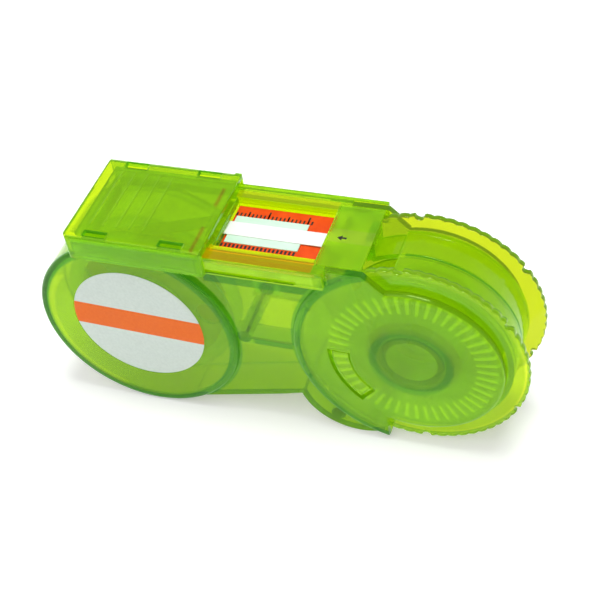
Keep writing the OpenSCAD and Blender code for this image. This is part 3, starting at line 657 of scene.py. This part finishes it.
def leave_out_tight(work, sharp, room):
    """Takes the edges out of a set where short edges leave no room for their rounding."""
    for _ in range(ROOM_PASSES):
        tight = set()
        for vert in work.verts:
            own = [e for e in vert.link_edges if e in sharp]
            if own and any(e not in sharp and e.calc_length() < room for e in vert.link_edges):
                tight.update(own)
        for edge in sharp:
            if edge.calc_length() < room:
                ends = [sum(e in sharp for e in v.link_edges) for v in edge.verts]
                if min(ends) > MEETING_ROUNDINGS:
                    tight.update(e for v in edge.verts for e in v.link_edges if e in sharp)
        if not tight:
            break
        sharp -= tight


def is_curved(face):
    """Whether a face is one of the narrow ones that make up a curved wall."""
    turns = [e.calc_face_angle(0.0) for e in face.edges if len(e.link_faces) == 2]
    return (any(FLAT_ANGLE < turn < CURVE_ANGLE for turn in turns)
            and face.calc_area() < LARGEST_CURVED_FACE)


def soften_edges(name, width, chosen=None):
    """A copy of a moulded piece with its outward edges rounded over, or the chosen ones of them.
    It stands for the plain one."""
    mesh = NODES[name].data.copy()
    mesh.name = name + "_moulded"
    work = bmesh.new()
    work.from_mesh(mesh)
    bmesh.ops.remove_doubles(work, verts=work.verts, dist=MERGE_WITHIN)
    bmesh.ops.dissolve_limit(work, angle_limit=FLAT_ANGLE, verts=work.verts, edges=work.edges)
    weights = work.edges.layers.float.new("bevel_weight_edge")
    creases = {e for e in work.edges
               if len(e.link_faces) == 2 and e.calc_face_angle(0.0) > CREASE_ANGLE}
    sharp = {e for e in creases
             if min(face_reach(e, f) for f in e.link_faces) > FACE_ROOM * width
             and e.is_convex and (chosen is None or all(chosen(v.co) for v in e.verts))}
    leave_out_tight(work, sharp, EDGE_ROOM * width)
    for edge in sharp:
        edge[weights] = 1.0
    for edge in creases - sharp:
        edge.smooth = False
    for face in work.faces:
        face.smooth = is_curved(face)
    work.to_mesh(mesh)
    work.free()
    piece = bpy.data.objects.new(name + "_piece", mesh)
    bpy.context.scene.collection.objects.link(piece)
    rounding = piece.modifiers.new("rounding", "BEVEL")
    rounding.width = width
    rounding.segments = ROUNDING_SEGMENTS
    rounding.limit_method = "WEIGHT"
    rounding.use_clamp_overlap = False
    shading = piece.modifiers.new("even_shading", "WEIGHTED_NORMAL")
    shading.mode = "FACE_AREA"
    shading.weight = AREA_WEIGHT
    shading.keep_sharp = True
    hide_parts(name)
    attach(piece, BODY_OF[name])


# The width of each piece's roundings, in millimetres
EDGE_WIDTHS = {
    "sliding_shutter": 0.35, "top_deck": 0.25, "front_shell": 0.25, "rear_shell": 0.25,
    "thumbwheel_front": 0.3, "thumbwheel_rear": 0.3,
    "wheel_guard_front": 0.25, "wheel_guard_rear": 0.25, "click_pawl": 0.15,
    "supply_spool": 0.15, "supply_spool_cover": 0.15, "take_up_spool": 0.15,
    "scale_plate": 0.1, "platen_pad": 0.08,
    "guide_roller_left": 0.15, "guide_roller_right": 0.15,
    "guide_pin_left": 0.15, "guide_pin_right": 0.15,
    "fresh_tape_roll": 0.08, "used_tape_roll": 0.08,
    "drag_felt": 0.1, "front_label": 0.03, "drag_spring": 0.06,
}


def on_case_face(place):
    """Whether a place on a shell is on its outer face, clear of the fine ribs inside."""
    return abs(place.y) > 10.85 * MM


def above_lugs(place):
    """Whether a place on the shutter is above its lugs."""
    return place.z > 52 * MM


CHOSEN_EDGES = {
    "front_shell": on_case_face, "rear_shell": on_case_face, "sliding_shutter": above_lugs,
}
for piece_name, edge_width in EDGE_WIDTHS.items():
    soften_edges(piece_name, edge_width * MM, chosen=CHOSEN_EDGES.get(piece_name))


# ---------------------------------------------------------------- printed scale and arrow

def geometry_socket(tree, label, kind, value=None):
    socket = tree.interface.new_socket(name=label, in_out="INPUT", socket_type=kind)
    if value is not None:
        socket.default_value = value
    return socket


def make_mark_row_tree():
    """A row of thin printed marks at an even pitch."""
    tree = bpy.data.node_groups.new("mark_row", "GeometryNodeTree")
    tree.interface.new_socket(name="Geometry", in_out="OUTPUT",
                              socket_type="NodeSocketGeometry")
    geometry_socket(tree, "Count", "NodeSocketInt", 10)
    for label in ("Start", "Step", "Mark Size"):
        geometry_socket(tree, label, "NodeSocketVector")
    given = tree.nodes.new("NodeGroupInput").outputs
    leave = tree.nodes.new("NodeGroupOutput")
    line = tree.nodes.new("GeometryNodeMeshLine")
    line.mode = "OFFSET"
    tree.links.new(given["Count"], line.inputs["Count"])
    tree.links.new(given["Start"], line.inputs["Start Location"])
    tree.links.new(given["Step"], line.inputs["Offset"])
    mark = tree.nodes.new("GeometryNodeMeshCube")
    tree.links.new(given["Mark Size"], mark.inputs["Size"])
    spots = tree.nodes.new("GeometryNodeInstanceOnPoints")
    tree.links.new(line.outputs["Mesh"], spots.inputs["Points"])
    tree.links.new(mark.outputs["Mesh"], spots.inputs["Instance"])
    real = tree.nodes.new("GeometryNodeRealizeInstances")
    tree.links.new(spots.outputs["Instances"], real.inputs["Geometry"])
    ink = tree.nodes.new("GeometryNodeSetMaterial")
    ink.inputs["Material"].default_value = PRINT
    tree.links.new(real.outputs["Geometry"], ink.inputs["Geometry"])
    tree.links.new(ink.outputs["Geometry"], leave.inputs["Geometry"])
    return tree


def grow(tree, name, values):
    """Evaluates a Geometry Nodes tree with its inputs set and gives the plain mesh."""
    base = bpy.data.meshes.new(name + "_base")
    holder = bpy.data.objects.new(name + "_holder", base)
    bpy.context.scene.collection.objects.link(holder)
    modifier = holder.modifiers.new("grown", "NODES")
    modifier.node_group = tree
    for item in tree.interface.items_tree:
        if item.item_type == "SOCKET" and item.in_out == "INPUT" and item.name in values:
            modifier[item.identifier] = values[item.name]
    depsgraph = bpy.context.evaluated_depsgraph_get()
    mesh = bpy.data.meshes.new_from_object(holder.evaluated_get(depsgraph), depsgraph=depsgraph)
    holder.modifiers.remove(modifier)
    bpy.data.objects.remove(holder)
    return mesh


# Rows of marks in millimetres: the first mark's x, their number and pitch, their limits in y and
# their width. Behind the tape the fives and tens are longer.
MarkRow = namedtuple("MarkRow", "first_x count pitch low_y high_y width")
MARK_ROWS = [
    MarkRow(-11.3, 19, 1.0, -6.05, -4.85, 0.56),
    MarkRow(-11.3, 20, 1.0, 4.9, 6.1, 0.42),
    MarkRow(-8.3, 3, 5.0, 4.9, 6.7, 0.42),
    MarkRow(-3.3, 2, 10.0, 4.9, 7.4, 0.42),
]
INK_THICKNESS = 0.016 * MM


def print_scale():
    """Millimetre marks on the plate, on both sides of the tape."""
    row_tree = make_mark_row_tree()
    joined = bmesh.new()
    for row in MARK_ROWS:
        middle_y = (row.low_y + row.high_y) / 2 * MM
        joined.from_mesh(grow(row_tree, "marks", {
            "Count": row.count,
            "Start": (row.first_x * MM, middle_y, PLATE_TOP + INK_THICKNESS / 2),
            "Step": (row.pitch * MM, 0.0, 0.0),
            "Mark Size": (row.width * MM, (row.high_y - row.low_y) * MM, INK_THICKNESS)}))
    result = bpy.data.meshes.new("scale_marks")
    joined.to_mesh(result)
    joined.free()
    result.materials.append(PRINT)
    marks = bpy.data.objects.new("scale_marks", result)
    bpy.context.scene.collection.objects.link(marks)
    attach(marks, "case")


# The arrow's outline as (x, y) in millimetres, from its tip
ARROW_OUTLINE = [(16.1, -0.7), (17.3, 0.15), (17.3, -0.42), (18.4, -0.42),
                 (18.4, -0.98), (17.3, -0.98), (17.3, -1.55)]
ARROW_SUNK, ARROW_PROUD = 0.002 * MM, 0.014 * MM


def print_arrow():
    """The arrow on the deck that points along the tape's run."""
    work = bmesh.new()
    low, high = DECK_TOP - ARROW_SUNK, DECK_TOP + ARROW_PROUD
    under = [work.verts.new((x * MM, y * MM, low)) for x, y in ARROW_OUTLINE]
    over = [work.verts.new((x * MM, y * MM, high)) for x, y in ARROW_OUTLINE]
    work.faces.new(over)
    work.faces.new(list(reversed(under)))
    for i in range(len(ARROW_OUTLINE)):
        j = (i + 1) % len(ARROW_OUTLINE)
        work.faces.new((under[i], under[j], over[j], over[i]))
    bmesh.ops.recalc_face_normals(work, faces=work.faces)
    mesh = bpy.data.meshes.new("direction_arrow")
    work.to_mesh(mesh)
    work.free()
    mesh.materials.append(PRINT)
    arrow = bpy.data.objects.new("direction_arrow", mesh)
    bpy.context.scene.collection.objects.link(arrow)
    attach(arrow, "case")


print_scale()
print_arrow()


# ---------------------------------------------------------------- studio

FLOOR_HALF = 3.0
FLOOR_Z = -0.02 * MM
FLOOR_PAINT = {"Base Color": (0.86, 0.94, 0.86, 1), "Roughness": 0.9, "Specular IOR Level": 0.1}
# The floor's own light under the lamps and far from them: where each holds, colour and strength
NEAR_REACH, NEAR_COLOUR, NEAR_STRENGTH = 0.2, (1.0, 0.76, 1.0, 1), 0.33
FAR_REACH, FAR_COLOUR, FAR_STRENGTH = 1.1, (1.0, 0.94, 1.0, 1), 0.66


def seen_rays(tree):
    """1 for the rays that show a surface to the camera, straight, mirrored or through glass."""
    path = tree.nodes.new("ShaderNodeLightPath")
    seen = calculate(tree, "MAXIMUM", path.outputs["Is Camera Ray"], path.outputs["Is Glossy Ray"])
    return calculate(tree, "MAXIMUM", seen, path.outputs["Is Transmission Ray"])


def make_floor():
    """A pale floor that keeps its paleness far from the lamps."""
    mesh = bpy.data.meshes.new("floor")
    corners = [(-1, -1), (1, -1), (1, 1), (-1, 1)]
    mesh.from_pydata([(x * FLOOR_HALF, y * FLOOR_HALF, FLOOR_Z) for x, y in corners],
                     [], [(0, 1, 2, 3)])
    floor = bpy.data.objects.new("floor", mesh)
    bpy.context.scene.collection.objects.link(floor)
    mat, tree, shader, _, _, axes = new_finish("pale_floor")
    set_values(shader, FLOOR_PAINT)
    seen = seen_rays(tree)
    reach = calculate(tree, "SQRT", plus(tree, times(tree, axes["x"], axes["x"]),
                                         times(tree, axes["y"], axes["y"])))
    away = spread(tree, reach, NEAR_REACH, FAR_REACH, smooth=True)
    light = blend_colours(tree, away, NEAR_COLOUR, FAR_COLOUR)
    strength = spread(tree, away, 0.0, 1.0, NEAR_STRENGTH, FAR_STRENGTH)
    tree.links.new(light, shader.inputs["Emission Color"])
    tree.links.new(times(tree, seen, strength), shader.inputs["Emission Strength"])
    mesh.materials.append(mat)


LAMPS_POINT_AT = Vector((0, 0, 0.02))


def make_lamp(name, location, size, power):
    """A round soft lamp that points at the middle of the case."""
    data = bpy.data.lights.new(name, "AREA")
    data.shape = "DISK"
    data.size = size
    data.energy = power
    lamp = bpy.data.objects.new(name, data)
    bpy.context.scene.collection.objects.link(lamp)
    lamp.location = location
    direction = LAMPS_POINT_AT - Vector(location)
    lamp.rotation_euler = direction.to_track_quat("-Z", "Y").to_euler()


# The strength of the surroundings' light, and how bright they look near the horizon and overhead
WORLD_LIGHT = 0.42
HORIZON_Z, OVERHEAD_Z = 0.15, 0.6
HORIZON_LOOK, OVERHEAD_LOOK = 1.0, 0.4


def make_world():
    """Soft white surroundings, darker overhead so that glossy tops aren't washed out."""
    world = bpy.data.worlds.new("studio")
    bpy.context.scene.world = world
    world.use_nodes = True
    tree = world.node_tree
    tree.nodes.clear()
    out = tree.nodes.new("ShaderNodeOutputWorld")
    back = tree.nodes.new("ShaderNodeBackground")
    seen = seen_rays(tree)
    coords = tree.nodes.new("ShaderNodeTexCoord").outputs["Generated"]
    split = tree.nodes.new("ShaderNodeSeparateXYZ")
    tree.links.new(coords, split.inputs[0])
    backdrop = spread(tree, split.outputs["Z"], HORIZON_Z, OVERHEAD_Z,
                      HORIZON_LOOK, OVERHEAD_LOOK)
    strength = spread(tree, seen, 0.0, 1.0, WORLD_LIGHT, backdrop)
    back.inputs["Color"].default_value = (1, 1, 1, 1)
    tree.links.new(strength, back.inputs["Strength"])
    tree.links.new(back.outputs["Background"], out.inputs["Surface"])


# The photograph's camera, solved from points on the case: its lens and sensor in millimetres, its
# axes, and its place in metres
LENS, SENSOR = 81.708, 36.0
NEAR_CLIP = 0.01
CAMERA_RIGHT = (0.941199, 0.315486, -0.120882)
CAMERA_UP = (-0.140925, 0.691787, 0.708216)
CAMERA_BACK = (0.307057, -0.649538, 0.695570)
CAMERA_PLACE = (0.1061, -0.2164, 0.2643)


def make_camera():
    data = bpy.data.cameras.new("camera")
    data.lens = LENS
    data.sensor_width = SENSOR
    data.clip_start = NEAR_CLIP
    camera = bpy.data.objects.new("camera", data)
    bpy.context.scene.collection.objects.link(camera)
    rows = list(zip(CAMERA_RIGHT, CAMERA_UP, CAMERA_BACK, CAMERA_PLACE))
    camera.matrix_world = Matrix(rows + [(0, 0, 0, 1)])
    bpy.context.scene.camera = camera


make_floor()
make_world()
make_lamp("top_lamp", (0.06, 0.04, 0.9), size=0.4, power=5.4)
make_lamp("front_lamp", (-0.2, -0.5, 0.85), size=0.8, power=2.4)
make_camera()
bpy.context.scene.view_settings.view_transform = "Standard"
